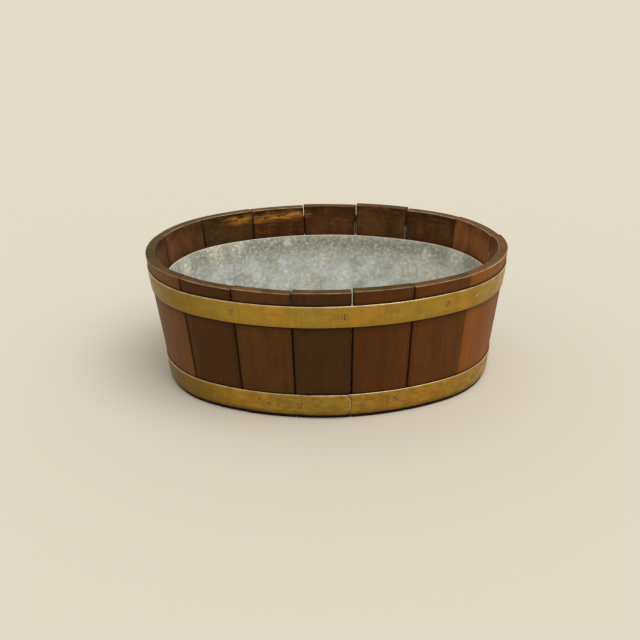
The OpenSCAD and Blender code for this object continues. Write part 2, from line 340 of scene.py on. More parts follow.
def oiledMahogany():
    # Mahogany staves, planed, oiled long ago and dried out of doors. The eye sees smooth dark brown wood
    # with faint ribbon stripes up the stave, fine dark pores, dirt along the straps and the joints, painted
    # shadow under the upper strap, dirt and painted shade over the foot, a weathered olive rim with pale
    # worn edges brightened as a painted highlight, damp black patches inside, lime in a few joints, and an
    # amber streak where water ran inside the back.
    look = {
        # Real fibres are 0.2 wide and real pores 0.25. Both are drawn wider, so that they show.
        "patterns": {"ribbon": (10, 320, 2), "fibre": (1.6, 70, 3), "pore": (0.9, 11, 1),
                     "scuff": (0.7, 4, 2), "blotch": (45, 90, 4), "cloud": (24, 30, 3), "smear": (22, 5, 5),
                     "streak": (3.2, 150, 3)},
        "figure": {"ribbon": 0.12, "fibre": 0.08, "blotch": 0.12},    # how far each lightens and darkens
        "amberZ": 211,          # the middle of the amber streak, how far it spreads and how far it wanders
        "amberHalf": 11,
        "amberWander": 18,
        "amberFrom": 93,        # normal angles between which it runs, and how slowly it starts and ends
        "amberTo": 120,
        "amberFade": 30,
        "limeLow": 160,         # heights of the lime that has settled in some joints
        "limeHigh": 196,
        "dirtAndShadeReach": 2.5,       # how far dirt and painted shade spread from a strap's edge
        "dampLow": 198,         # heights between which the dark of the damp under the rim sets in
        "dampHigh": 224,
        "footDirtAndShadeHigh": 12,         # how high the foot is dirty and painted dark as shade
        "algaeStart": (118, 142),    # normal angles over which the rim's green film starts and ends
        "algaeEnd": (203, 230),
        "innerSide": (10, 15),  # depths between which the outside gives way to the inside
        "endTones": [(0.34, "#34280d"), (0.5, "#4e3a14"), (0.66, "#6a4c1e")],    # the rim's end grain
    }
    material, tree = newMaterial("oiledMahogany")
    place, tone = [addNode(tree, "Attribute", {"attribute_name": name}, 1)
                   for name in ("grainPlace", "staveTone")]
    seed, edge, endGrain, seam, lime = [addNode(tree, "Attribute", {"attribute_name": name}, 2)
                                        for name in ("staveSeed", "edge", "endGrain", "seam", "lime")]
    own = addNode(tree, "VectorMath", {"operation": "ADD", 0: place, 1: seed})
    run, depth, height = addNode(tree, "SeparateXYZ", {"Vector": place}).node.outputs
    patterns = makePatterns(tree, own, look["patterns"])
    ribbon, fibre, pore, scuff, blotch, cloud, smear, streak = patterns.values()

    # the wood's own figure
    wood = tone
    for name, swing in look["figure"].items():
        shade = shareOf(tree, (patterns[name], 0.3, 0.7, 1 - swing, 1 + swing))
        wood = addNode(tree, "VectorMath", {"operation": "SCALE", 0: wood, "Scale": shade})
    pores = shareOf(tree, (pore, 0.62, 0.7, 0, 0.35))

    # the amber streak, ragged and brightest in its middle
    wander = addNode(tree, "Math", {"operation": "MULTIPLY_ADD", 0: blotch, 1: look["amberWander"] * mm,
                                    2: height})
    middle = (look["amberZ"] + look["amberWander"] / 2) * mm
    off = addNode(tree, "Math", {"operation": "SUBTRACT", 0: wander, 1: middle})
    away = addNode(tree, "Math", {"operation": "ABSOLUTE", 0: off})
    enter, leave = runTo(look["amberFrom"]) * mm, runTo(look["amberTo"]) * mm
    fadeRun = look["amberFade"] * mm
    amber = shareOf(tree, (away, look["amberHalf"] * mm, 0), (run, enter, enter + fadeRun),
                    (run, leave, leave - fadeRun), (depth, 13 * mm, 15 * mm), (smear, 0.4, 0.6, 0.1, 1))

    # dirt above the straps' top edges, painted shadow under the upper strap, and dirt with painted shade
    # over the foot
    edges = [corner.z / mm for node in ("lower_strap", "upper_strap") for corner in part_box(node)]
    reach = look["dirtAndShadeReach"]
    dirtAndShadeStops = [(0, 1), (edges[0] + reach, 0.95), (edges[1], 0.9), (edges[1] + reach, 0.15),
                 (edges[1] + 5 * reach, 0), (edges[2] - 6 * reach, 0), (edges[2] - 1.6 * reach, 0.35),
                 (edges[2] - reach / 2, 0.95), (edges[3], 0.95), (edges[3] + reach / 2, 0.7),
                 (edges[3] + 1.4 * reach, 0.1), (edges[3] + 4 * reach, 0)]
    whole = shareOf(tree, (height, 0, tub["height"] * mm))
    stops = [(z / tub["height"], dirtAndShade) for z, dirtAndShade in dirtAndShadeStops]
    byHeight = addNode(tree, "ValToRGB", {"stops": stops, "Fac": whole})
    dirtAndShade = shareOf(tree, (byHeight, 0, 1, 0, 0.95), (depth, 4 * mm, 1 * mm))

    endTone = addNode(tree, "ValToRGB", {"stops": look["endTones"], "Fac": blotch})
    limed = shareOf(tree, (lime, 0, 1), (height, look["limeLow"] * mm, (look["limeLow"] + 8) * mm),
                    (height, look["limeHigh"] * mm, (look["limeHigh"] - 6) * mm), (scuff, 0.42, 0.52))
    starts, ends = [[runTo(angle) * mm for angle in look[name]] for name in ("algaeStart", "algaeEnd")]
    algae = shareOf(tree, (endGrain, 0, 1, 0, 0.6), (run, *starts), (run, *ends, 1, 0))
    # damp has blackened the inside in patches, and most of all under the rim
    inside = shareOf(tree, (depth, *[d * mm for d in look["innerSide"]]))
    surface = layCoats(tree, wood, [
        (pores, "#1a0d04"),
        (shareOf(tree, (streak, 0.58, 0.72, 0, 0.45), (blotch, 0.4, 0.6)), "#150d07"),
        (shareOf(tree, (inside, 0, 1), (blotch, 0.42, 0.64, 0, 0.65)), "#1d140b"),
        (shareOf(tree, (inside, 0, 1), (height, look["dampLow"] * mm, look["dampHigh"] * mm, 0, 0.75),
                 (cloud, 0.34, 0.54)), "#1d140b"),
        (shareOf(tree, (inside, 0, 1), (smear, 0.52, 0.68, 0, 0.4)), "#7c4f28"),
        (amber, "#c4813a"),
        # dirt above each strap, painted shadow under the upper strap, and dirt with painted shade at the
        # foot
        (dirtAndShade, "#120b05"),
        (shareOf(tree, (seam, 0, 1, 0, 0.5)), "#120b05"),
        (shareOf(tree, (cloud, 0.56, 0.78, 0, 0.3)), "#21170d"),
        (shareOf(tree, (endGrain, 0, 1, 0, 0.75)), endTone),
        (shareOf(tree, (endGrain, 0, 1), (scuff, 0.55, 0.72, 0, 0.45)), "#2c2215"),
        (algae, "#37330f"),
        # pale worn edges of the rim, brightened as a painted highlight
        (shareOf(tree, (edge, 0.15, 0.85), (fibre, 0.3, 0.55, 0.5, 1), (cloud, 0.36, 0.58, 0.4, 1)),
         "#bc9a74"),
        (limed, "#b9b09a"),
        # dirt and painted shade over the foot
        (shareOf(tree, (height, look["footDirtAndShadeHigh"] * mm, 1 * mm, 0, 0.75)), "#171008"),
    ])

    roughness = shareOf(tree, (fibre, 0.3, 0.7, 0.45, 0.62), (endGrain, 0, 1, 1, 1.3))
    relief = addNode(tree, "Math", {"operation": "MULTIPLY_ADD", 0: pores, 1: -1.2, 2: fibre})
    # dry, dirty wood gives back less than clean polish would, and what it gives back is brown with oil
    return finishMaterial(material, relief, 0.3, 0.25, {
        "Base Color": surface, "Roughness": roughness, "IOR": 1.5, "Specular IOR Level": 0.2,
        "Specular Tint": "#e0b483"})


def rolledBrass():
    # Rolled brass bar, bent round the tub and left out of doors. The eye sees a satin mustard metal that
    # drifts from olive to orange, brown tarnish on the lower strap, smudges, faint lines along the bar
    # from rolling, a darker lower edge, a painted highlight along the upper edge and round the lapped end,
    # a few old stains, painted shade over both straps' left end, painted glints on a few bright burrs, and
    # painted shadow with dirt round the lapped end.
    look = {
        # Real rolling lines are 0.1 apart, and are drawn coarser so that they show
        "patterns": {"roll": (90, 1.2, 2), "rain": (7, 60, 2), "drift": (120, 90, 2),
                     "mottle": (22, 22, 4), "tarnish": (26, 13, 5), "smudge": (24, 6, 5),
                     "grit": (2.2, 2.2, 2)},
        "tones": [(0.32, "#a58a3b"), (0.5, "#b08b37"), (0.68, "#ba8b34")],
        # stains and painted light: the strap, the normal angle, the height, the radius, the ring's width or
        # 0 for a spot, the colour and how strong it is
        "stainsAndPaintedLight": [
            # the first two darken both straps' left end, as painted shade
            ("lower_strap", 205, 22, 150, 0, "#7a621c", 0.8),
            ("upper_strap", 200, 188, 170, 0, "#7f661f", 0.8),
            # old stains
            ("lower_strap", 290, 26.5, 7.5, 1.3, "#7d5f34", 0.55),
            ("lower_strap", 295.5, 20.5, 4.5, 0, "#b07a58", 0.55),
            ("lower_strap", 297, 31.5, 3.5, 0, "#a8744e", 0.5),
            ("lower_strap", 320, 26, 5, 0, "#a8744e", 0.45),
            ("lower_strap", 253, 32, 3, 0, "#5f4c26", 0.6),
            ("lower_strap", 255.3, 25.5, 2.5, 0, "#5f4c26", 0.6),
            ("lower_strap", 257.5, 24, 4, 0, "#6b5428", 0.45),
            # the small pale spots are bright burrs with painted glints, and the wide orange one is a stain
            ("upper_strap", 310, 185.5, 2.2, 0, "#e8cf94", 0.7),
            ("upper_strap", 278.7, 192, 16, 0, "#c98f3c", 0.3),
            ("upper_strap", 241, 204.5, 1.8, 0, "#ead7a6", 0.8),
            ("upper_strap", 264.5, 205, 1.8, 0, "#e0c88f", 0.7),
        ],
    }
    material, tree = newMaterial("rolledBrass")
    place = addNode(tree, "Attribute", {"attribute_name": "barPlace"}, 1)
    edge, age, hang, grime = [addNode(tree, "Attribute", {"attribute_name": name}, 2)
                              for name in ("edge", "age", "hang", "grime")]
    roll, rain, drift, mottle, tarnish, smudge, grit = makePatterns(tree, place, look["patterns"]).values()

    base = addNode(tree, "ValToRGB", {"stops": look["tones"], "Fac": drift})
    shade = shareOf(tree, (mottle, 0.3, 0.7, 0.87, 1.13), (roll, 0.3, 0.7, 0.96, 1.04))
    satin = addNode(tree, "VectorMath", {"operation": "SCALE", 0: base, "Scale": shade})
    tarnished = shareOf(tree, (tarnish, 0.46, 0.68, 0, 0.7), (age, 0, 1))
    surface = layCoats(tree, satin, [
        (shareOf(tree, (rain, 0.5, 0.76, 0, 0.32)), "#7d6430"),
        (shareOf(tree, (smudge, 0.52, 0.68, 0, 0.45), (age, 0, 1, 0.5, 1)), "#7b6029"),
        (shareOf(tree, (smudge, 0.42, 0.34, 0, 0.35), (age, 0, 1, 0.4, 1)), "#d2ab52"),
        (tarnished, "#7a5a2e"),
        (shareOf(tree, (grit, 0.66, 0.74, 0, 0.5), (age, 0, 1)), "#57421f"),
        # darker towards the lower edge, most on the more tarnished lower strap
        (shareOf(tree, (hang, 0.76, 1, 0, 0.85), (mottle, 0.3, 0.6, 0.5, 1), (age, 0, 1, 0.15, 1)),
         "#4a3b1a"),
    ])
    for strap, angle, z, radius, ring, colour, strength in look["stainsAndPaintedLight"]:
        spot = (barRun(strap, angle) * mm, straps["thickness"] * mm, z * mm)
        away = addNode(tree, "VectorMath", {"operation": "DISTANCE", 0: place, 1: spot}, 1)
        frayed = addNode(tree, "Math", {"operation": "MULTIPLY_ADD", 0: tarnish, 1: radius * 0.8 * mm,
                                        2: away})
        middle = radius * 1.4 * mm
        if ring:
            off = addNode(tree, "Math", {"operation": "SUBTRACT", 0: frayed, 1: middle})
            near = addNode(tree, "Math", {"operation": "ABSOLUTE", 0: off})
            share = shareOf(tree, (near, 0, ring * mm, strength, 0))
        else:
            share = shareOf(tree, (frayed, middle * 0.7, middle * 1.1, strength, 0))
        surface = layCoats(tree, surface, [(share, colour)])
    # painted highlight along the top edges and round the lapped end
    paintedEdgeGlint = shareOf(tree, (edge, 0, 1, 0, 0.85), (mottle, 0.36, 0.56, 0.5, 1), (age, 0, 1, 1, 0.65))
    # grime is dirt, with painted shadow round the lapped end
    surface = layCoats(tree, surface, [(paintedEdgeGlint, "#f8e6b8"), (grime, "#22180a")])

    roughness = shareOf(tree, (mottle, 0.3, 0.7, 0.46, 0.36), (tarnished, 0, 0.7, 1, 1.3),
                        (edge, 0, 1, 1, 0.6), (grime, 0, 1, 1, 2))
    metal = shareOf(tree, (grime, 0, 1, 1, 0.2))
    relief = addNode(tree, "Math", {"operation": "MULTIPLY_ADD", 0: roll, 1: 0.3, 2: mottle})
    return finishMaterial(material, relief, 0.2, 0.25, {
        "Base Color": surface, "Roughness": roughness, "Metallic": metal})


def turnedBrass():
    # Turned brass screws and nails, left in place as long as the straps. The eye sees the straps' own
    # mustard, a little brighter where a screwdriver has worn it, dark grime in the slots, and grime with
    # painted shade round the heads.
    look = {
        "mottle": 1.7,          # width of the worn spots. Real ones are 0.5, too fine to show.
        "tones": [(0.35, "#97793a"), (0.65, "#b7954a")],
    }
    material, tree = newMaterial("turnedBrass")
    place = addNode(tree, "TexCoord", {}, 3)
    grime = addNode(tree, "Attribute", {"attribute_name": "grime"}, 2)
    mottle = addNode(tree, "TexNoise", {"Scale": 1 / (look["mottle"] * mm), "Detail": 3, "Vector": place})
    base = addNode(tree, "ValToRGB", {"stops": look["tones"], "Fac": mottle})
    surface = layCoats(tree, base, [(grime, "#2a1d0c")])
    roughness = shareOf(tree, (grime, 0, 1, 0.38, 0.85))
    metal = shareOf(tree, (grime, 0, 1, 1, 0.2))
    return finishMaterial(material, mottle, 0.2, 0.1, {
        "Base Color": surface, "Roughness": roughness, "Metallic": metal})


def galvanisedSheet():
    # Hot-dip galvanised sheet after years of wet soil. The eye sees a chalky blue-grey in clouds, faint
    # zinc crystals, pale blooms, cream lime crumbs in patches, and a darker, browner band above an old
    # water line.
    look = {
        # Real grit is 0.3 wide, and is drawn coarser so that it shows
        "patterns": {"cloud": (46, 38, 5), "fleck": (7, 6, 5), "grit": (1.8, 1.8, 2), "drip": (14, 60, 3),
                     "bloom": (26, 20, 5)},
        "tones": [(0.33, "#a9aaa0"), (0.5, "#c8c9be"), (0.66, "#dedfd6")],
        "tideTones": [(0.34, "#807d6c"), (0.5, "#989684"), (0.66, "#b6b3a0")],
        "crystal": 14,          # width of a zinc crystal
        "waterLine": 106,       # height of the old water line above the liner's floor, how far it
        "wander": 44,           # wanders, and how far it fades on either side
        "waterFade": 14,
        # normal angles between which the sheet goes from pale to grey and back to pale, as painted light
        # and shade
        "greying": (48, 130),
        "paling": (230, 312),
        # and between which the band above the water line fades towards the left end, and comes back
        "fading": (125, 168),
        "returning": (192, 235),
        # patches of lime: the normal angle, the height above the liner's floor, and the radius
        "crumbs": [(65, 84, 30), (56, 78, 26), (60, 112, 18), (38, 124, 30), (126, 128, 30), (116, 130, 26),
                   (101, 127, 12), (91, 92, 16), (95, 60, 14), (152, 118, 24), (225, 100, 30),
                   (300, 110, 26)],
    }
    material, tree = newMaterial("galvanisedSheet")
    place = addNode(tree, "Attribute", {"attribute_name": "sheetPlace"}, 1)
    edge = addNode(tree, "Attribute", {"attribute_name": "edge"}, 2)
    cloud, fleck, grit, drip, bloom = makePatterns(tree, place, look["patterns"]).values()
    crystal = addNode(tree, "TexVoronoi", {"Scale": 1 / (look["crystal"] * mm), "Vector": place}, 1)

    zinc = addNode(tree, "ValToRGB", {"stops": look["tones"], "Fac": cloud})
    run, side, height = addNode(tree, "SeparateXYZ", {"Vector": place}).node.outputs
    spans = {name: [runTo(angle) * mm for angle in look[name]]
             for name in ("greying", "paling", "fading", "returning")}
    turningIn = [liner["outsideShift"] * share * mm for share in (0.5, 0.125)]
    # painted light and shade: the sheet is drawn paler towards the right end, and darker towards the left
    shade = shareOf(tree, (crystal, 0, 1, 0.97, 1.03), (fleck, 0.3, 0.7, 0.86, 1.1),
                    (grit, 0.3, 0.7, 0.96, 1.04), (run, *spans["greying"], 1.12, 0.86),
                    (run, *spans["paling"], 1, 1.3), (side, *turningIn, 0.95, 1))
    spangled = addNode(tree, "VectorMath", {"operation": "SCALE", 0: zinc, "Scale": shade})

    wander = addNode(tree, "Math", {"operation": "MULTIPLY_ADD", 0: cloud, 1: look["wander"] * mm,
                                    2: height})
    waterLine = (look["waterLine"] + look["wander"] / 2) * mm
    waterFade = look["waterFade"] * mm
    tideTone = addNode(tree, "ValToRGB", {"stops": look["tideTones"], "Fac": fleck})

    # the crumbs thin out from the middle of each patch
    patch = None
    for angle, z, radius in look["crumbs"]:
        spot = (runTo(angle) * mm, 0, z * mm)
        away = addNode(tree, "VectorMath", {"operation": "DISTANCE", 0: place, 1: spot}, 1)
        near = shareOf(tree, (away, radius * mm, radius * 0.2 * mm))
        if patch is None:
            patch = near
        else:
            patch = addNode(tree, "Math", {"operation": "MAXIMUM", 0: patch, 1: near})
    crumbs = addNode(tree, "Math", {"operation": "MULTIPLY_ADD", 0: patch, 1: 0.19, 2: fleck})
    surface = layCoats(tree, spangled, [
        (shareOf(tree, (bloom, 0.5, 0.66, 0, 0.6)), "#d9e0e8"),
        (shareOf(tree, (wander, waterLine - waterFade, waterLine + waterFade, 0, 0.85),
                 (side, *turningIn, 0.15, 1), (run, *spans["fading"], 1, 0.5),
                 (run, *spans["returning"], 1, 2), (patch, 0, 0.6, 1, 0.5)), tideTone),
        (shareOf(tree, (patch, 0, 0.6, 0, 0.7), (bloom, 0.36, 0.6, 0.35, 1)), "#cbc5b2"),
        (shareOf(tree, (drip, 0.56, 0.72, 0, 0.3)), "#8d8c82"),
        (shareOf(tree, (fleck, 0.42, 0.3, 0, 0.5), (grit, 0.4, 0.6)), "#77746a"),
        (shareOf(tree, (crumbs, 0.58, 0.74, 0, 0.75), (grit, 0.4, 0.56, 0.25, 1)), "#f0ead9"),
        (shareOf(tree, (fleck, 0.6, 0.68, 0, 0.75), (grit, 0.46, 0.6)), "#f4f1e6"),
        (edge, "#e6dec9"),
    ])
    roughness = shareOf(tree, (cloud, 0.3, 0.7, 0.55, 0.8))
    metal = shareOf(tree, (fleck, 0.3, 0.6, 0.3, 0.02))
    relief = addNode(tree, "Math", {"operation": "MULTIPLY_ADD", 0: grit, 1: 0.5, 2: fleck})
    return finishMaterial(material, relief, 0.35, 0.5, {
        "Base Color": surface, "Roughness": roughness, "Metallic": metal})


def sawnMahogany(name, index):
    # Rough-sawn mahogany base boards. The eye sees dusty brown wood, each board with its own grain, saw
    # lines across it, damp stains and dirt down its joints.
    look = {
        "grain": (5, 120),      # width and length of the grain, and of the saw lines across it. Real saw
        "saw": (250, 4),        # lines are 1.5 apart, and are drawn coarser so that they show.
        "stain": 60,            # size of the damp stains
        "dirtWidth": 3.5,       # how far dirt spreads from a joint
        # the boards take these two sets in turn
        "tones": [("#4c3422", "#6a4b32", "#7f6046"), ("#422c1c", "#5f422b", "#755740")],
        "apart": (0.37, 0.21),  # how far each board's pattern lies from the one before, in metres
    }
    material, tree = newMaterial("sawnMahogany%d" % (index + 1))
    low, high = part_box(name)
    place = addNode(tree, "TexCoord", {}, 3)
    along, over = look["apart"]
    own = addNode(tree, "VectorMath", {"operation": "ADD", 0: place, 1: (index * along, index * over, 0)})
    noises = []
    for width, length in (look["grain"], look["saw"]):
        scale = (1 / (length * mm), 1 / (width * mm), 1 / (width * mm))
        at = addNode(tree, "VectorMath", {"operation": "MULTIPLY", 0: own, 1: scale})
        noises.append(addNode(tree, "TexNoise", {"Scale": 1, "Detail": 4, "Vector": at}))
    grain, saw = noises
    stain = addNode(tree, "TexNoise", {"Scale": 1 / (look["stain"] * mm), "Detail": 4, "Vector": own})
    across = addNode(tree, "SeparateXYZ", {"Vector": place}, 1)
    dirtWidth = look["dirtWidth"] * mm
    stops = list(zip((0.3, 0.5, 0.7), look["tones"][index % 2]))
    tone = addNode(tree, "ValToRGB", {"stops": stops, "Fac": grain})
    surface = layCoats(tree, tone, [
        (shareOf(tree, (stain, 0.5, 0.65, 0, 0.6)), "#2f261c"),
        (shareOf(tree, (across, low.y + dirtWidth, low.y)), "#120c07"),
        (shareOf(tree, (across, high.y - dirtWidth, high.y)), "#120c07"),
    ])
    relief = addNode(tree, "Math", {"operation": "ADD", 0: saw, 1: grain})
    return finishMaterial(material, relief, 0.4, 0.4, {"Base Color": surface, "Roughness": 0.8, "IOR": 1.5})


mahogany = oiledMahogany()
print("wood made")

# Staves. Each row is the node, the tops of its two ends above or below the tub's height, its tone
# outside, its tone inside at both ends, and how worn, and so how bright with painted highlight, the
# edges of its rim are. The right end's inner tones, and the left end's inner tones near their shared
# joint, are lighter in part as painted light.
staves = {
    "thickness": 16,
    "topRound": 1.8,       # roundings of the rim's outer and inner corners, the foot and the joints
    "innerRound": 1.3,
    "footRound": 1,
    "jointRound": 0.9,
    "setIn": (0.05, 0.6),  # least and most that a stave's end stands back from the tub's outline
    "grooveZ": 16,         # the groove that holds the base boards
    "grooveHeight": 14,
    "grooveDepth": 5,
    "dent": 0.35,          # how uneven the worn rim is, and how long each dent
    "dentSize": 9,
    "seamReach": 4.5,      # how far dirt spreads from a joint
    "rimReach": 3,         # how far down wear and its painted highlight go from the rim
    "rowGap": 14,
    "rows": [
        ("front_stave_1", 1.4, -1.8, "#45290f", "#5c3c20", "#5c3c20", 0.75),
        ("front_stave_2", 0, -2, "#523316", "#5c3c20", "#5c3c20", 0.75),
        ("front_stave_3", 0, -0.3, "#412a12", "#4c3420", "#4c3420", 0.7),
        ("front_stave_4", 1.4, 0.5, "#532f12", "#5c3c20", "#5c3c20", 0.6),
        ("front_stave_5", -0.5, -0.7, "#5a3311", "#64401f", "#64401f", 0.8),
        ("right_end_stave_1", -0.3, 0, "#824a18", "#8a5028", "#8a5028", 1),
        ("right_end_stave_2", 0, -2, "#7c4219", "#945e36", "#8e562c", 0.85),
        ("right_end_stave_3", -5, -3, "#74401b", "#925a2b", "#8f5628", 1),
        ("back_stave_1", -4, -2.5, "#533014", "#573a1c", "#54341a", 1),
        ("back_stave_2", -0.5, 1, "#5a3717", "#5a3c1c", "#5c3e20", 0.4),
        ("back_stave_3", -2, 0, "#573216", "#5e3a1e", "#502f16", 0.3),
        ("back_stave_4", -1.5, -0.5, "#553115", "#522f13", "#502f13", 1),
        ("back_stave_5", 0, 0, "#4b3219", "#4e3214", "#433420", 1),
        ("left_end_stave_1", 0, 0, "#663818", "#623e20", "#74482a", 1),
        ("left_end_stave_2", 0, 0, "#663a1a", "#825234", "#5e4029", 0.3),
        ("left_end_stave_3", 0, 1.5, "#684018", "#60402a", "#60402a", 0.55),
    ],
    "limeJoints": [9, 67, 81.2],    # the normal angles of the joints in which lime has settled
    "seedStep": 1.37,      # how far each stave's grain lies from the one before, in metres
}


def spanOf(node):
    # the first and last normal angle of a CAD stave
    low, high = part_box(node)
    middle = normalAngle((low + high) / 2)
    swings = [(normalAngle(v.co) - middle + 180) % 360 - 180 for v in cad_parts[node].data.vertices]
    return middle + min(swings), middle + max(swings)


def stationsBetween(start, end, tipRound, step):
    # angles to cut a mesh at, close together at both rounded ends, each with its distance along the
    # piece and its distance from the nearer end
    length = runTo(end) - runTo(start)
    tips = [tipRound * share for share in (0.04, 0.25, 0.6, 1)] + [3, 7]
    steps = round(length / step)
    inner = [tips[-1] + (length - 2 * tips[-1]) * k / steps for k in range(1, steps)]
    distances = tips + inner + [length - t for t in reversed(tips)]
    return [(start + (end - start) * d / length, d, min(d, length - d)) for d in distances]


def fromFace(depth, z, radius):
    # a corner of a stave's outline, at a depth behind the tub's outer face
    return faceAt(z) - depth, z, radius


def makeStave(index, node, topStart, topEnd, outerTone, innerStart, innerEnd, wear):
    rng = random.Random(index)
    start, end = spanOf(node)
    length = runTo(end) - runTo(start)
    setIn = [rng.uniform(*staves["setIn"]) for _ in range(2)]
    thickness = staves["thickness"]
    jointRound = staves["jointRound"]
    grooveZ = staves["grooveZ"]
    grooveTop = grooveZ + staves["grooveHeight"]
    grooveFloor = thickness - staves["grooveDepth"]
    footRow = staves["footRound"] + 0.6
    rings = []
    rows = None
    marks = {name: [] for name in
             ("grainPlace", "staveSeed", "staveTone", "edge", "endGrain", "seam", "lime")}
    outer = Vector(linear(outerTone)[:3])
    innerTones = [Vector(linear(tone)[:3]) for tone in (innerStart, innerEnd)]
    for angle, distance, tip in stationsBetween(start, end, jointRound, tub["step"]):
        share = distance / length
        top = tub["height"] + topStart + (topEnd - topStart) * share
        back = setIn[0] + (setIn[1] - setIn[0]) * share
        run = runTo(angle)
        inner = innerTones[0].lerp(innerTones[1], share)
        limed = any(abs((angle - joint + 180) % 360 - 180) < 2 for joint in staves["limeJoints"])
        corners = [
            fromFace(back, 0, staves["footRound"]),
            fromFace(back, footRow, 0),
            fromFace(back, top - staves["topRound"] - 1, 0),
            fromFace(back, top, staves["topRound"]),
            fromFace(thickness, top, staves["innerRound"]),
            fromFace(thickness, top - staves["innerRound"] - 1, 0),
            fromFace(thickness, grooveTop, 0),
            (faceAt(grooveZ) - grooveFloor, grooveTop, 0),
            fromFace(grooveFloor, grooveZ, 0),
            fromFace(thickness, grooveZ, 0),
            fromFace(thickness, footRow, 0),
            fromFace(thickness, 0, staves["footRound"]),
        ]
        rows = rows or rowsBetween(corners, staves["rowGap"])
        outline = shrink(roundedOutline(corners, rows), roundInset(tip, jointRound))
        ring = []
        tipEdge = 1 - smooth(tip, 0, jointRound * 1.4)
        for offset, z, edge in outline:
            nearTop = smooth(z, top - staves["topRound"] * 0.7, top - 0.1)
            nearFoot = 1 - smooth(z, 0.1, staves["footRound"])
            nearRim = smooth(z, top - staves["rimReach"], top - 1)
            size = staves["dentSize"]
            dent = 0.5 + 0.5 * noise.noise(Vector((run / size, z / size, index * 3.7)))
            softened = max(edge * nearRim, tipEdge, edge if z < 3 else 0)
            offset -= math.copysign(staves["dent"] * softened * dent, offset - faceAt(z) + thickness / 2)
            z -= staves["dent"] * edge * dent * nearTop
            z = max(z, 0)
            ring.append(ovalPoint(angle, offset, z))
            depth = faceAt(z) - offset
            inside = smooth(depth, thickness * 0.6, thickness - 0.5)
            marks["grainPlace"].append((run * mm, depth * mm, z * mm))
            marks["staveSeed"].append(index * staves["seedStep"])
            marks["staveTone"].append(outer.lerp(inner, inside))
            # wear, with its painted highlight, counts from the dented rim down, and the joints' own edges
            # stay darker
            nearRim = smooth(z, top - staves["rimReach"], top - 1)
            marks["edge"].append(max(edge, tipEdge * 0.35) * nearRim * wear)
            marks["endGrain"].append(max(nearTop, nearFoot))
            marks["seam"].append(1 - smooth(tip, 0, staves["seamReach"]))
            marks["lime"].append(limed * (1 - smooth(tip, 0.3, 1)))
        rings.append(ring)
    name = "stave" + "".join(word.capitalize() for word in node.replace("_stave", "").split("_"))
    piece = loft(name, rings, marks)
    dress(piece, "tub", mahogany, node)


for index, row in enumerate(staves["rows"]):
    makeStave(index, *row)
print("staves built:", len(staves["rows"]))

# Base boards keep their CAD shape
boards = [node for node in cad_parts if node.startswith("base_board")]
for index, node in enumerate(boards):
    boardWood = sawnMahogany(node, index)
    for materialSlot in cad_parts[node].material_slots:
        materialSlot.material = boardWood
print("base boards dressed:", len(boards))

# Brass straps. Each one is a single bar whose outer end laps over its start.
straps = {
    "thickness": 1.5,
    "clearance": 0.1,      # room between a strap and the staves
    "edgeRound": 0.45,
    "topRound": 1,         # the outer corner of its top, which the eye sees as a bright line
    "lapLength": 66,
    "lapCorner": 11,
    "joggle": 16,          # length over which the bar climbs onto its own start, and the play there
    "lapPlay": 0.02,
    "shy": 0.3,            # how far its edges stand inside the CAD's, which leaves them room to wander
    "wave": 0.25,          # how far the hammered edges wander, and over what length
    "waveLength": 60,
    "tilt": -0.6,          # how far the upper strap rises at the right end, and sinks at the left
    "lapGrimeAndShade": 2.8,       # width of the dirt and painted shadow round the lapped end
    "lapRowGap": 0.8,      # spacing of the mesh rows there, and over the bar's width
    "rowGap": 3,
    "lapEnds": {"upper_strap": 84, "lower_strap": 274.5},
    "ages": {"upper_strap": 0.15, "lower_strap": 0.75},    # how tarnished each strap is
}


def barStart(strap):
    return angleAlong(straps["lapEnds"][strap], -straps["lapLength"])


def barRun(strap, angle):
    # how far along its bar the visible place at an angle lies
    unwrapped = angle if angle > straps["lapEnds"][strap] else angle + 360
    return runTo(unwrapped) - runTo(barStart(strap))


def lapShadow(distance, z, middle, half):
    # painted shadow and dirt just outside the lapped end's rounded outline, on the bar beneath it
    corner = straps["lapCorner"]
    along = distance - straps["lapLength"] + corner
    across = abs(z - middle) - half + corner
    gap = math.hypot(max(along, 0), max(across, 0)) - corner
    return (1 - smooth(gap, 0.2, straps["lapGrimeAndShade"])) * (along > 0)


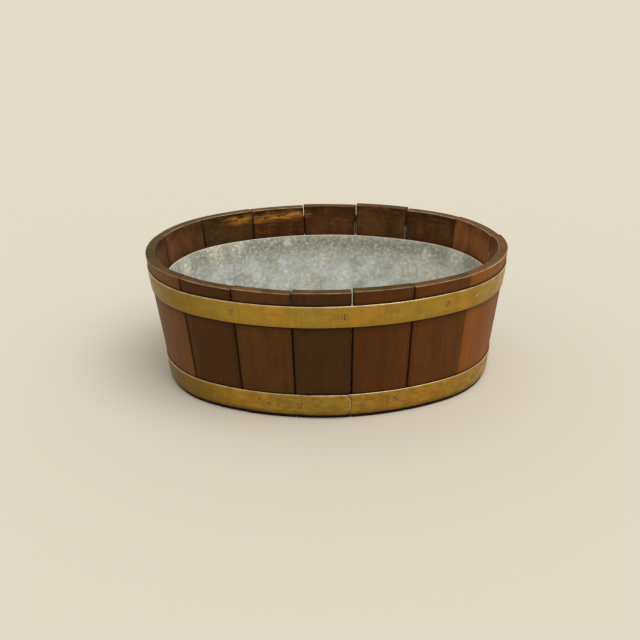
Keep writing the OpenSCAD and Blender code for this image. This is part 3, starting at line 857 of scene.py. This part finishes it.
def makeStrap(name, node):
    low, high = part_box(node)
    thickness = straps["thickness"]
    start = barStart(node)
    end = straps["lapEnds"][node] + 360
    length = runTo(end) - runTo(start)
    fullRun = runTo(360)
    corner = straps["lapCorner"]
    steps = round(length / tub["step"])
    distances = [length * k / steps for k in range(steps)]
    # closer rows where dirt and painted shadow lie round the lapped end, and at the end itself
    nearLap = [straps["lapLength"] + k * straps["lapRowGap"] for k in range(-16, 7)]
    distances = [d for d in distances
                 if length - d > corner + 1 and not nearLap[0] - 1 < d < nearLap[-1] + 1]
    tips = [corner * share for share in (1, 0.8, 0.62, 0.46, 0.32, 0.2, 0.11, 0.05, 0.012, 0)]
    distances = sorted(distances + nearLap) + [length - t for t in tips]
    middle = (low.z + high.z) / 2 / mm
    half = (high.z - low.z) / 2 / mm
    rings = []
    rows = None
    marks = {name: [] for name in ("barPlace", "edge", "age", "hang", "grime")}
    for distance in distances:
        angle = angleAtRun(start, end, distance)
        climb = smooth(distance, fullRun - straps["joggle"], fullRun + 2)
        rise = straps["clearance"] + (thickness + straps["lapPlay"]) * climb
        inset = roundInset(length - distance, corner)
        wander = straps["wave"] * noise.noise(Vector((distance / straps["waveLength"], 0, low.z * 99)))
        tilt = straps["tilt"] * math.cos(math.radians(angle)) * (node == "upper_strap")
        bottom = low.z / mm + straps["shy"] + inset + wander + tilt
        top = min(high.z / mm - straps["shy"] - inset + wander + tilt, high.z / mm)
        corners = [
            (faceAt(bottom) + rise, bottom, straps["edgeRound"]),
            (faceAt(bottom) + rise + thickness, bottom, straps["edgeRound"]),
            (faceAt(top) + rise + thickness, top, straps["topRound"]),
            (faceAt(top) + rise, top, straps["edgeRound"]),
        ]
        rows = rows or rowsBetween(corners, straps["rowGap"])
        tipDraw = 0.3 * (1 - smooth(length - distance, 0, 0.5))
        outline = shrink(roundedOutline(corners, rows, 3), tipDraw)
        ring = []
        for offset, z, edge in outline:
            hang = (high.z / mm - z) / 2 / half
            tipEdge = 1 - smooth(length - distance, 0.2, 1.6)
            ring.append(ovalPoint(angle, offset, z))
            marks["barPlace"].append((distance * mm, (offset - faceAt(z)) * mm, z * mm))
            # edge carries the painted highlight along the top edges and round the lapped end
            marks["edge"].append(max(edge * (1 - smooth(hang, 0.5, 0.9)), tipEdge))
            marks["age"].append(straps["ages"][node])
            marks["hang"].append(hang)
            marks["grime"].append(lapShadow(distance, z, middle, half))
        rings.append(ring)
    piece = loft(name, rings, marks)
    dress(piece, "tub", brassBar, node)


brassBar = rolledBrass()
brassScrew = turnedBrass()
print("brass made")
makeStrap("upperStrap", "upper_strap")
makeStrap("lowerStrap", "lower_strap")
print("straps built")

# Screws and nails. A row is a screw's angle and the turn of its slot, and for the lower strap how far
# it stands above the strap's middle.
fastenings = {
    "headRadius": 4.5,
    "headRound": 0.35,
    "proud": 0.2,           # how far a head stands out of the strap
    "slotWidth": 1.1,
    "slotDepth": 1,
    "ringWidth": 0.5,       # the grime and painted shade round a head
    "upper": [(248.3, 80), (273, 90), (296.5, 50), (347, 20), (34, 140), (71, 65), (96.5, 10),
              (123.5, 100), (151, 35), (205, 120)],
    "lower": [(263, 70, -2), (285.3, 125, 2.4), (318, 30, 0), (3, 95, 1), (56, 150, -1), (80, 15, 0),
              (103, 60, 2), (127, 110, -1), (178, 45, 0)],
    "nailRadius": 2,
    "nailHeight": 0.6,
    "nailInset": 7,         # how far a nail is from its strap's lapped end, and from the lower edge
    "nailRise": 9,
}
leanAngle = math.atan2(tub["splay"], tub["height"])


def onFace(angle, z, offset):
    # a matrix that stands its Z on the staves at a place, with its Y up the staves
    turned = math.radians(angle)
    outward = Vector((math.cos(turned), math.sin(turned), 0))
    normal = outward * math.cos(leanAngle) - Vector((0, 0, math.sin(leanAngle)))
    along = Vector((-math.sin(turned), math.cos(turned), 0))
    up = normal.cross(along)
    spot = ovalPoint(angle, faceAt(z) + offset, z)
    return Matrix.Translation(spot) @ Matrix((along, up, normal)).transposed().to_4x4()


def circle(radius, sides=32):
    return [(radius * math.cos(math.tau * k / sides), radius * math.sin(math.tau * k / sides), 0)
            for k in range(sides)]


def lump(layers, grimeAndShadeLevels):
    # a solid from outlines at rising heights, each (points, height), and how much grime and painted shade
    # each of them has
    rings = [[Vector((x, y, z)) * mm for x, y, _ in points] for points, z in layers]
    marks = {"grime": [g for g, (points, _) in zip(grimeAndShadeLevels, layers) for _ in points]}
    rings = rings[::-1]
    marks["grime"] = marks["grime"][::-1]
    return loft("lump", rings, marks)


def halfHead(radius):
    # one side of a slotted head, seen from above
    edge = fastenings["slotWidth"] / 2
    begin = math.asin(edge / radius)
    steps = 18
    turns = [begin + (math.pi - 2 * begin) * k / steps for k in range(steps + 1)]
    return [(radius * math.cos(turn), radius * math.sin(turn), 0) for turn in turns]


def makeScrew(angle, z, slotTurn):
    radius = fastenings["headRadius"]
    proud = fastenings["proud"]
    roundOff = fastenings["headRound"]
    floor = proud - fastenings["slotDepth"]
    half = halfHead(radius)
    layers = [(half, floor), (half, proud - roundOff),
              (shrink(half, roundOff * 0.3), proud - roundOff * 0.3), (shrink(half, roundOff), proud)]
    pieces = []
    for side in (0, math.pi):
        piece = lump(layers, [1, 0.35, 0.1, 0])
        piece.data.transform(Matrix.Rotation(side, 4, "Z"))
        pieces.append(piece)
    pieces.append(lump([(circle(radius - 0.1), floor - 0.6), (circle(radius - 0.1), floor)], [1, 1]))
    ringOuter = radius + fastenings["ringWidth"]
    # only the top of the ring of grime and painted shade shows, so its middle is left inside the head
    pieces.append(lump([(circle(ringOuter), -0.3), (circle(ringOuter), 0), (circle(radius), 0.04)],
                       [1, 0.7, 1]))
    screw = joinPieces("screw", pieces)
    rise = straps["clearance"] + straps["thickness"]
    screw.data.transform(onFace(angle, z, rise) @ Matrix.Rotation(math.radians(slotTurn), 4, "Z"))
    return screw


def makeScrews(name, node, rows, strap):
    low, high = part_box(strap)
    middle = (low.z + high.z) / 2 / mm
    screws = [makeScrew(angle, middle + sum(above), slotTurn) for angle, slotTurn, *above in rows]
    piece = joinPieces(name, screws)
    dress(piece, "tub", brassScrew, node)


def makeNails():
    nails = []
    radius = fastenings["nailRadius"]
    height = fastenings["nailHeight"]
    for strap, lapEnd in straps["lapEnds"].items():
        low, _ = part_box(strap)
        z = low.z / mm + fastenings["nailRise"]
        dome = [(circle(radius * math.cos(t), 24), height * math.sin(t))
                for t in (0, 0.35, 0.7, 1.05, 1.4)]
        nail = lump([(circle(radius, 24), -0.5)] + dome, [0.8, 0.8, 0.2, 0, 0, 0])
        rise = straps["clearance"] + 2 * straps["thickness"]
        nail.data.transform(onFace(angleAlong(lapEnd, -fastenings["nailInset"]), z, rise))
        nails.append(nail)
    piece = joinPieces("lapNails", nails)
    dress(piece, "tub", brassScrew, "lap_nails")


makeScrews("upperScrews", "upper_strap_screws", fastenings["upper"], "upper_strap")
makeScrews("lowerScrews", "lower_strap_screws", fastenings["lower"], "lower_strap")
makeNails()
print("screws and nails built")

# Liner, drawn level and then leant down to the right, where it rests. Two sheets make its wall. The
# front one runs past both ends, and the back one steps in behind it there, where they are soldered.
liner = {
    "height": 138,
    "sheet": 0.8,          # the sheet's thickness
    "fit": 0.3,            # room between sheets that lap, and round the floor
    "gap": 6,              # room between the liner and the staves
    "hemDepth": 8,         # the folded top edge, and its rounding
    "hemRound": 0.75,
    "lean": 0.9,           # degrees
    "footZ": 30,           # height of the base boards' top, and how far above it the liner rests
    "restGap": 0.1,
    "dent": 0.9,           # how far the thin wall is dented in and out, and how long and high each dent
    "dentLong": 90,
    "dentHigh": 60,
    "seamWidth": 12,
    "joggle": 5,           # length over which the back sheet steps in
    "step": 5,             # spacing of the mesh rows round the wall, and up it
    "rowGap": 9,
    "bead": 2.2,           # size of the solder bead round the floor
    "swell": 1.2,          # how far the floor bulges
    "outsideShift": 40,    # how far the outside's pattern lies from the inside's
}
seamHalf = math.degrees(liner["seamWidth"] / 2 / tub["endRadius"])


def placeLiner(piece):
    lean = math.radians(liner["lean"])
    halfFoot = halfLength + skinAt(0)
    rise = liner["footZ"] + liner["restGap"] + halfFoot * math.sin(lean)
    origin = Vector((-liner["height"] * math.sin(lean) / 2, 0, rise)) * mm
    piece.data.transform(Matrix.Translation(origin) @ Matrix.Rotation(lean, 4, "Y"))


def skinAt(z):
    # the sheet's outer face at a height above the liner's foot, as an offset from the rim
    return faceAt(liner["footZ"] + z) - staves["thickness"] - liner["gap"] - liner["sheet"]


def dentAt(run, z):
    # the foot is stiff, and stays true
    bulge = noise.noise(Vector((run / liner["dentLong"], z / liner["dentHigh"], 5.5)))
    return liner["dent"] * bulge * smooth(z, 10, 60)


def makeLinerWall(name, node, start, end, lap):
    # lap is how far the sheet steps in at both of its ends, to lie behind the other sheet
    sheet = liner["sheet"]
    length = runTo(end) - runTo(start)
    steps = round(length / liner["step"])
    seam = liner["seamWidth"]
    hemZ = liner["height"] - liner["hemDepth"]
    near = [seam + liner["joggle"] * t for t in (0, 0.2, 0.4, 0.6, 0.8, 1)]
    kept = [k for k in range(steps + 1)
            if min(k, steps - k) < 2 or min(k, steps - k) * liner["step"] > near[-1] + 1]
    distances = sorted([length * k / steps for k in kept] + near + [length - t for t in near])
    rings = []
    rows = None
    marks = {"sheetPlace": [], "edge": []}
    for distance in distances:
        angle = angleAtRun(start, end, distance)
        run = runTo(angle)
        dentRun = runTo(angle % 360)    # so that sheets that lap are dented alike
        tip = min(distance, length - distance)
        behind = 1 - smooth(tip, seam + 0.5, seam + liner["joggle"])
        stepIn = lap * behind
        fold = sheet * (1 - behind * (lap > 0))
        height = liner["height"] - stepIn
        hemRound = liner["hemRound"] * (0.3 + 0.7 * fold / sheet)
        corners = [
            (skinAt(stepIn) - sheet - stepIn, stepIn, 0.2),
            (skinAt(stepIn) - stepIn, stepIn, 0.2),
            (skinAt(hemZ - 1) - stepIn, hemZ - 1, 0),
            (skinAt(hemZ) - stepIn + fold, hemZ, 0.02 + fold / 3),
            (skinAt(height) - stepIn + fold, height, hemRound),
            (skinAt(height) - stepIn - sheet, height, hemRound),
        ]
        ring = []
        rows = rows or rowsBetween(corners, liner["rowGap"])
        for offset, z, edge in roundedOutline(corners, rows):
            ring.append(ovalPoint(angle, offset + dentAt(dentRun, z), z))
            # the outside's pattern is its own, and has no water line
            outside = offset > skinAt(z) - stepIn - sheet + 0.1
            marks["sheetPlace"].append((run * mm, (lap + liner["outsideShift"] * outside) * mm, z * mm))
            marks["edge"].append(edge if z > height - 2 else 0)
        rings.append(ring)
    piece = loft(name, rings, marks)
    placeLiner(piece)
    dress(piece, "liner", galvanised, node)


def makeLinerFloor():
    # a flat plate with a bead of solder round its edge. It has swollen a little in its middle.
    sheet = liner["sheet"]
    edge = skinAt(0) - sheet - liner["fit"]
    bead = liner["bead"]
    steps = 240
    # each row of points is its offset from the rim, its height and how near the middle it is drawn
    rows = [(edge - 4, 0, 0.5), (edge - 2, 0, 1), (edge - 0.3, 0.05, 1), (edge, 0.4, 1),
            (edge + 0.2, bead, 1), (edge - bead * 0.15, bead * 0.95, 1),
            (edge - bead * 0.45, bead * 0.6, 1), (edge - bead * 0.8, sheet + 0.25, 1),
            (edge - bead, sheet, 1)]
    rows += [(edge - bead, sheet, share)
             for share in (0.985, 0.96, 0.92, 0.86, 0.78, 0.68, 0.56, 0.42, 0.26, 0.1)]
    vertices, faces = [], []
    marks = {"sheetPlace": [], "edge": []}
    for offset, z, share in rows:
        for k in range(steps):
            point = ovalPoint(360 * k / steps, offset, 0)
            point.x *= share
            point.y *= share
            # the bead is lumpy, and the floor swells unevenly
            ripple = 1 + 0.25 * noise.noise(point * 400)
            swell = liner["swell"] * (1 - share) ** 0.5 * (1 + noise.noise(point * 9))
            point.z = (z * (ripple if z > sheet else 1) + swell * (z >= sheet)) * mm
            vertices.append(point)
            # a metre off, so that the floor's pattern is its own and has no water line
            marks["sheetPlace"].append((point.x, point.y + 1, point.z))
            marks["edge"].append(0.5 if z > sheet else 0)
    for i in range(len(rows) - 1):
        for k in range(steps):
            m = (k + 1) % steps
            faces.append((i * steps + k, i * steps + m, (i + 1) * steps + m, (i + 1) * steps + k))
    faces.append(tuple(range(steps - 1, -1, -1)))
    faces.append(tuple((len(rows) - 1) * steps + k for k in range(steps)))
    piece = makeMesh("linerFloor", vertices, faces, marks)
    placeLiner(piece)
    dress(piece, "liner", galvanised, "liner_floor")


galvanised = galvanisedSheet()
makeLinerWall("linerFrontWall", "liner_front_wall", 180 - seamHalf, 360 + seamHalf, 0)
makeLinerWall("linerBackWall", "liner_back_wall", -seamHalf, 180 + seamHalf, liner["sheet"] + liner["fit"])
makeLinerFloor()
print("liner built")

# Camera, solved from the photograph's rim, straps and foot
camera = {
    "place": (-28.2, -1482.6, 742.3),
    "pitchDown": 24.0,
    "heading": -0.57,
    "roll": -0.99,
    "lens": 51.93,
    "sensor": 36,
    "near": 0.01,          # the nearest and farthest that it sees, in metres
    "far": 100,
}


def makeCamera():
    data = bpy.data.cameras.new("camera")
    data.lens = camera["lens"]
    data.sensor_width = camera["sensor"]
    data.clip_start = camera["near"]
    data.clip_end = camera["far"]
    eye = bpy.data.objects.new("camera", data)
    turned = Matrix.Rotation(math.radians(camera["heading"]), 4, "Z")
    tipped = Matrix.Rotation(math.radians(90 - camera["pitchDown"]), 4, "X")
    rolled = Matrix.Rotation(math.radians(camera["roll"]), 4, "Z")
    eye.matrix_world = Matrix.Translation(Vector(camera["place"]) * mm) @ turned @ tipped @ rolled
    bpy.context.scene.collection.objects.link(eye)
    bpy.context.scene.camera = eye


def makeStage():
    # A floor in matt paint, rolled on. The eye sees one plain pale tone with no shine and no edge.
    stage = {"size": 60, "tone": "#dad2c2", "roughness": 0.9}    # its size is in metres
    half = stage["size"] / 2
    corners = [(-half, -half, 0), (half, -half, 0), (half, half, 0), (-half, half, 0)]
    mesh = bpy.data.meshes.new("floor")
    mesh.from_pydata(corners, [], [(0, 1, 2, 3)])
    floor = bpy.data.objects.new("floor", mesh)
    bpy.context.scene.collection.objects.link(floor)
    material, tree = newMaterial("mattPaint")
    shader = addNode(tree, "BsdfPrincipled", {"Base Color": stage["tone"], "Roughness": stage["roughness"]})
    addNode(tree, "OutputMaterial", {"Surface": shader})
    mesh.materials.append(material)


def makeLight():
    light = {
        "sky": 0.66,           # how strongly the sky lights the tub, and how bright the sky itself looks
        "background": 0.9,
        "keyStrength": 1.5,
        "keySpread": 48,       # the key's width in degrees, for soft shadows
        "keyFrom": (2.0, -1.6, 4.8),    # where it shines from
    }
    world = bpy.data.worlds.new("studio")
    bpy.context.scene.world = world
    world.use_nodes = True
    tree = world.node_tree
    tree.nodes.clear()
    path = addNode(tree, "LightPath", {}).node
    seen = path.outputs["Is Camera Ray"]
    for name in ("Is Glossy Ray", "Is Transmission Ray"):
        seen = addNode(tree, "Math", {"operation": "MAXIMUM", 0: seen, 1: path.outputs[name]})
    strength = shareOf(tree, (seen, 0, 1, light["sky"], light["background"]))
    sky = addNode(tree, "Background", {"Color": "#fffdf9", "Strength": strength})
    addNode(tree, "OutputWorld", {"Surface": sky})
    data = bpy.data.lights.new("key", "SUN")
    data.energy = light["keyStrength"]
    data.angle = math.radians(light["keySpread"])
    lamp = bpy.data.objects.new("key", data)
    spot = Vector(light["keyFrom"])
    lamp.matrix_world = Matrix.Translation(spot) @ spot.to_track_quat("Z", "Y").to_matrix().to_4x4()
    bpy.context.scene.collection.objects.link(lamp)


makeCamera()
makeStage()
makeLight()
bpy.context.scene.view_settings.view_transform = "Standard"
print("camera, floor and light set")
